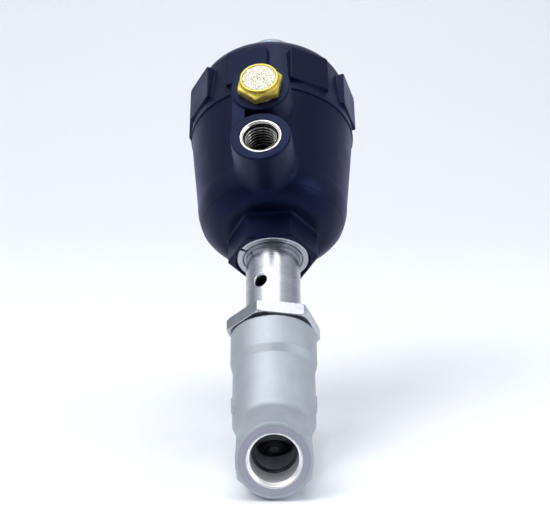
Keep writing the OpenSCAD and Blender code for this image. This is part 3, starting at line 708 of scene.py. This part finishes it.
def threadedInsert(name, height, node):
    # A tube whose inner wall is a right-hand screw: r = minor + depth * tri(along / pitch - angle).
    s = insertShape
    length = s["high"] - s["low"]
    wallRows = int(length / s["pitch"] * 14)
    z = np.linspace(s["high"] - 0.75, s["low"] + 0.3, wallRows)
    wall = np.stack([np.full(wallRows, s["minorR"]), z], -1)
    rows = np.concatenate([
        [[s["majorR"] + 0.75, s["high"] - 0.02], [s["majorR"] + 0.5, s["high"] - 0.12],
         [s["majorR"] + 0.05, s["high"] - 0.6]],
        wall,
        [[s["majorR"], s["low"]], [s["outerR"], s["low"]], [s["outerR"], s["low"] + 4],
         [s["outerR"], s["high"] - 0.15], [s["outerR"] - 0.12, s["high"]]]])[::-1]

    def screw(a, r, z):
        threaded = (r < s["minorR"] + 0.001) & (z > s["low"] + 0.2) & (z < s["high"] - 0.7)
        phase = (z / s["pitch"] - a / (2 * np.pi)) % 1.0
        ridge = np.clip(np.abs(2 * phase - 1) * 1.5 - 0.25, 0, 1)
        runOut = np.clip((s["high"] - 0.75 - z) / 0.5, 0, 1)
        deep = s["majorR"] - s["minorR"]
        cut = deep * (1 - ridge) * runOut + (1 - runOut) * deep * 0.9
        return np.where(threaded, s["minorR"] + cut, r)

    points, faces = turned(rows, 112, screw)
    piece = buildMesh(name, placePort(points, height), faces, "actuator", (node,), insertSteel)
    radius = np.hypot(points[:, 0], points[:, 1])
    inner = (radius < s["majorR"] + 0.01) & (points[:, 2] < s["high"] - 0.7)
    # How deep each point of the inner wall sits, 0 at the thread's top to 1 at its root; the thread material turns
    # it into painted highlight and painted shade.
    groove = np.where(inner, np.clip((radius - s["minorR"]) / (s["majorR"] - s["minorR"]), 0, 1), 0)
    piece.data.attributes.new("groove", "FLOAT", "POINT").data.foreach_set("value", groove.astype(np.float32))
    return piece


threadedInsert("pilotInsertThreaded", airPorts["pilotHeight"], "pilot_insert")
threadedInsert("exhaustInsertThreaded", airPorts["exhaustHeight"], "exhaust_insert")

silencerShape = {
    "flats": 15.6, "turn": 18.5, "low": 43.34, "corner": 46.0, "high": 48.64, "rimR": 7.25, "discR": 6.4,
    "stemR": 5.68,
}


def silencerField(x, y, z):
    s = silencerShape
    r = np.hypot(x, y)
    corner = s["flats"] / math.sqrt(3)
    hexSide = hexagon(x, y, s["flats"], math.radians(s["turn"] + 90), 0.12)
    trim = (r - corner) * 0.45 + (z - s["corner"]) * 0.89
    head = both(both(hexSide, trim, 0.12), slab(z, s["low"], s["high"], 0.15))
    rim = both(r - s["rimR"], slab(z, s["low"], s["high"], 0.25))
    head = either(head, rim, 0.3)
    shank = both(r - s["stemR"], slab(z, s["low"] - 8, s["low"] + 1))
    hollow = np.minimum(both(r - s["discR"], s["high"] - 2.4 - z), both(r - 3.5, s["low"] - 9 - z))
    return without(either(head, shank, 0.1), hollow, 0.12)


def makeSilencer():
    c, t = math.cos(portTurn), math.sin(portTurn)
    portBasis = np.array([c * sideAxis + t * backAxis, stemAxis, t * sideAxis - c * backAxis])
    shift = np.linalg.solve(portBasis.T, stemAxis * airPorts["exhaustHeight"])

    def field(x, y, z):
        return silencerField(x, y - shift[1], z)

    skin("silencerHexagon", field, (-10.4, -10.4 + shift[1], 34.6), (10.4, 10.4 + shift[1], 49.3), 0.26,
         "actuator", ("silencer_body",), brass, portBasis)


makeSilencer()


def sinteredDisc():
    # A disc of pressed grains: z = top + bumps, each bump half a sphere at a point of a jittered lattice.
    s = silencerShape
    rng = np.random.default_rng(7)
    top, grain = s["high"] - 0.12, 0.42
    ticks = np.arange(-s["discR"] - 1, s["discR"] + 1, grain)
    gx, gy = np.meshgrid(ticks, ticks)
    seeds = np.stack([gx.ravel(), gy.ravel()], -1) + rng.uniform(-0.32, 0.32, (gx.size, 2)) * grain
    grainLift = rng.uniform(-0.06, 0.05, len(seeds))
    rings, columns = 64, 200
    r = (s["discR"] - 0.03) * np.linspace(1, 0.01, rings)
    a = np.linspace(0, 2 * np.pi, columns, endpoint=False)
    rr, aa = np.meshgrid(r, a, indexing="ij")
    flat = np.stack([rr * np.sin(aa), -rr * np.cos(aa)], -1).reshape(-1, 2)
    nearest = np.full(len(flat), 9.0)
    tall = np.zeros(len(flat))
    for chunk in np.array_split(np.arange(len(seeds)), 12):
        gap = np.linalg.norm(flat[:, None] - seeds[None, chunk], axis=2)
        best = gap.argmin(1)
        closer = gap[np.arange(len(flat)), best] < nearest
        nearest[closer] = gap[np.arange(len(flat)), best][closer]
        tall[closer] = grainLift[chunk][best][closer]
    z = top + tall + np.sqrt(np.maximum(0.32 ** 2 - nearest ** 2, 0)) - 0.32
    z[:columns] = top - 0.25
    face = np.concatenate([flat, z[:, None]], 1)
    low = s["high"] - 2.3
    rim = np.stack([r[0] * np.sin(a), -r[0] * np.cos(a), np.full(columns, low)], -1)
    points = np.concatenate([rim, face, [[0, 0, top]], [[0, 0, low]]])
    quads = gridFaces(rings + 1, columns)
    j = np.arange(columns)
    k = (j + 1) % columns
    base, peak, foot = rings * columns, len(points) - 2, len(points) - 1
    fans = np.concatenate([np.stack([base + j, base + k, np.full(columns, peak)], -1),
                           np.stack([k, j, np.full(columns, foot)], -1)])
    buildMesh("silencerDiscSintered", placePort(points, airPorts["exhaustHeight"]), addTriangles(quads, fans),
              "actuator", ("silencer_disc",), finishes["sintered_bronze"])


sinteredDisc()
print("air ports made")

ringShape = {
    "outerR": 13.8, "innerR": 11.5, "low": 75.0, "high": 76.9, "edge": 0.25, "gapTurn": -60, "gap": 6,
}


def retainingRing():
    # An open steel ring: its rounded section is carried round the axis from one side of the gap to the other.
    s = ringShape
    e = s["edge"]
    section = np.array([
        (s["outerR"], s["high"] - e), (s["outerR"], s["low"] + e), (s["outerR"] - e, s["low"]),
        (s["innerR"] + e, s["low"]), (s["innerR"], s["low"] + e), (s["innerR"], s["high"] - e),
        (s["innerR"] + e, s["high"]), (s["outerR"] - e, s["high"])])
    steps = 150
    a = np.radians(np.linspace(s["gapTurn"] + s["gap"] / 2, s["gapTurn"] + 360 - s["gap"] / 2, steps))
    r, aa = section[:, 0][:, None], a[None, :]
    z = np.repeat(section[:, 1:2], steps, axis=1)
    points = np.stack([r * np.sin(aa), -r * np.cos(aa), z], -1).reshape(-1, 3)
    quads = gridFaces(len(section), steps, wrapRows=True, wrapColumns=False)
    n = len(section)
    start = np.arange(n) * steps
    ends = []
    for i in range(1, n - 1):
        ends.append([start[0], start[i], start[i + 1]])
        ends.append([start[0] + steps - 1, start[i + 1] + steps - 1, start[i] + steps - 1])
    buildMesh("retainingRingOpen", place(points), addTriangles(quads, np.array(ends)), "actuator",
              ("retaining_ring",), turnedSteel)


retainingRing()

springs = {
    "closing": {"meanR": 15.6, "wireR": 1.6, "low": 112.55, "length": 48.43, "turns": 6.5},
    "packing": {"meanR": 5.35, "wireR": 0.55, "low": 28.62, "length": 7.3, "turns": 4.5},
}


def makeSprings():
    s = springs["closing"]
    points, faces = tube(coilPath(s["meanR"], s["wireR"], s["low"], s["length"], s["turns"]), s["wireR"])
    spring = buildMesh("closingSpringWire", place(points), faces, "actuator", ("closing_spring",), springWire)
    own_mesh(spring)
    s = springs["packing"]
    points, faces = tube(coilPath(s["meanR"], s["wireR"], s["low"], s["length"], s["turns"]), s["wireR"], 12)
    buildMesh("packingSpringWire", place(points), faces, "valve", ("packing_spring",), springWire)


makeSprings()

capShape = {"outerR": 11.98, "innerR": 10.25, "low": 168.9, "domeFrom": 179.0, "top": 187.95, "wall": 1.7}


def indicatorCap():
    # A clear turned cup: straight wall, quarter-ellipse dome, the same inside, closed at both poles.
    s = capShape
    a = np.linspace(0, np.pi / 2, 20)[:-1]
    outer = np.stack([s["outerR"] * np.cos(a), s["domeFrom"] + (s["top"] - s["domeFrom"]) * np.sin(a)], -1)
    innerTop = s["top"] - s["wall"]
    inner = np.stack([s["innerR"] * np.cos(a), s["domeFrom"] + (innerTop - s["domeFrom"]) * np.sin(a)], -1)
    flange = np.array([[s["innerR"], s["low"] + 0.2], [s["innerR"] + 0.2, s["low"]],
                       [s["outerR"] - 0.3, s["low"]], [s["outerR"], s["low"] + 0.3],
                       [s["outerR"], s["low"] + 2.2], [s["outerR"] - 0.25, s["low"] + 2.45],
                       [s["outerR"] - 0.25, s["domeFrom"] - 1]])
    rows = np.concatenate([inner[::-1], flange, outer])
    points, faces, fans = solidOfRevolution(rows, 96)
    buildMesh("indicatorCapClear", place(points), addTriangles(faces, fans), "actuator", ("indicator_cap",),
              clear)


indicatorCap()
print("indicator made")

stage = {
    "floorDrop": 0.5, "wallAt": 1050.0, "bend": 420.0, "wallTop": 2600.0, "front": -2200.0, "half": 2400.0,
}


def makeStage():
    # A sheet of paper that lies under the part and bends up behind it: floor, quarter circle, wall.
    s = stage
    low = cadBounds[0][2] / mm - s["floorDrop"]
    a = np.linspace(0, np.pi / 2, 25)
    bend = np.stack([s["wallAt"] - s["bend"] + s["bend"] * np.sin(a), low + s["bend"] * (1 - np.cos(a))], -1)
    path = np.concatenate([[[s["front"], low]], bend, [[s["wallAt"], s["wallTop"]]]])
    across = np.array([-s["half"], s["half"]])
    points = np.stack([np.repeat(across[None], len(path), 0), np.repeat(path[:, :1], 2, 1),
                       np.repeat(path[:, 1:], 2, 1)], -1).reshape(-1, 3) * mm
    mesh = bpy.data.meshes.new("paperSweep")
    mesh.from_pydata(points.tolist(), [], gridFaces(len(path), 2, False, False).tolist())
    mesh.polygons.foreach_set("use_smooth", np.ones(len(mesh.polygons), bool))
    sweep = bpy.data.objects.new("paperSweep", mesh)
    bpy.context.scene.collection.objects.link(sweep)
    material, tree, shader = newMaterial("paperMattWhite", Roughness=0.9)
    where = addNode(tree, "ShaderNodeTexCoord").outputs["Object"]
    fibres = addNode(tree, "ShaderNodeTexNoise", {}, {"Vector": where, "Scale": 400.0, "Detail": 3.0})
    colour = addNode(tree, "ShaderNodeMix", {"data_type": "RGBA"}, {
        0: fibres.outputs["Fac"], 6: linear("#e9ebef"), 7: linear("#eef0f3")})
    tree.links.new(colour.outputs[2], shader.inputs["Base Color"])
    mesh.materials.append(material)


makeStage()

world = bpy.data.worlds.new("studio")
bpy.context.scene.world = world
world.use_nodes = True
worldTree = world.node_tree  # a bright room with a dark side where the viewer stands
towards = addNode(worldTree, "ShaderNodeSeparateXYZ", {}, {
    "Vector": addNode(worldTree, "ShaderNodeTexCoord").outputs["Generated"]})
brightSide = addNode(worldTree, "ShaderNodeMapRange", {"interpolation_type": "SMOOTHSTEP"}, {
    "Value": towards.outputs["Y"], "From Min": -0.85, "From Max": -0.1})
sky = addNode(worldTree, "ShaderNodeMix", {"data_type": "RGBA"}, {
    0: brightSide.outputs[0], 6: linear("#20242c"), 7: linear("#eff3f8")}).outputs[2]
across = addNode(worldTree, "ShaderNodeMapRange", {}, {"Value": towards.outputs["X"], "From Min": -1.0})
cards = addNode(worldTree, "ShaderNodeValToRGB", {}, {"Fac": across.outputs[0]})
stops = [(0.0, 0.8), (0.06, 0.5), (0.15, 0.85), (0.33, 0.7), (0.43, 0.8), (0.48, 1.0), (0.53, 1.0),
         (0.58, 0.72), (0.78, 0.7), (0.89, 0.5), (0.97, 0.85)]
while len(cards.color_ramp.elements) < len(stops):
    cards.color_ramp.elements.new(0.5)
for stop, (where, tone) in zip(cards.color_ramp.elements, stops):
    stop.position = where
    stop.color = (tone, tone, tone * 1.02, 1.0)
lit = addNode(worldTree, "ShaderNodeMix", {"data_type": "RGBA", "blend_type": "MULTIPLY"}, {
    0: 1.0, 6: sky, 7: cards.outputs["Color"]})
worldTree.links.new(lit.outputs[2], worldTree.nodes["Background"].inputs["Color"])
worldTree.nodes["Background"].inputs["Strength"].default_value = 1.25

lights = [
    # name, place and aim in metres, size in metres, power in watts, colour
    ("keySoft", (-0.55, -0.35, 0.85), (0, 0.08, 0.06), 0.7, 5.6, "#ffffff"),
    ("fillSoft", (0.7, -0.3, 0.35), (0, 0.08, 0.06), 0.5, 2.2, "#f4f8ff"),
    ("wallSoft", (0.0, 0.2, 1.5), (0, 1.05, 0.4), 1.2, 9.5, "#fdfeff"),
]
for name, at, aim, size, power, tint in lights:
    light = bpy.data.lights.new(name, "AREA")
    light.shape = "DISK"
    light.size = size
    light.energy = power
    light.color = linear(tint)[:3]
    lamp = bpy.data.objects.new(name, light)
    lamp.location = at
    lamp.rotation_euler = (Vector(aim) - Vector(at)).to_track_quat("-Z", "Y").to_euler()
    bpy.context.scene.collection.objects.link(lamp)

beam = {"from": (-0.1, -0.75, 0.42), "to": (0.0, 0.006, -0.007), "cone": 1.5, "blend": 0.6, "power": 42.0}
spot = bpy.data.lights.new("boreBeam", "SPOT")  # a narrow beam into the inlet
spot.energy = beam["power"]
spot.spot_size = math.radians(beam["cone"])
spot.spot_blend = beam["blend"]
spot.shadow_soft_size = 0.03
lamp = bpy.data.objects.new("boreBeam", spot)
lamp.location = beam["from"]
lamp.rotation_euler = (Vector(beam["to"]) - Vector(beam["from"])).to_track_quat("-Z", "Y").to_euler()
bpy.context.scene.collection.objects.link(lamp)

view = {"lens": 88.5, "place": (1.54, -426.03, 133.26), "turn": (81.085, 0.585, -0.005)}  # mm and degrees
camera = bpy.data.cameras.new("camera")
camera.sensor_width = 36.0
camera.lens = view["lens"]
camera.clip_start = 0.01
camera.clip_end = 50.0
viewer = bpy.data.objects.new("camera", camera)
viewer.location = Vector(view["place"]) * mm
viewer.rotation_euler = [math.radians(t) for t in view["turn"]]
bpy.context.scene.collection.objects.link(viewer)
bpy.context.scene.camera = viewer
bpy.context.scene.view_settings.view_transform = "Standard"
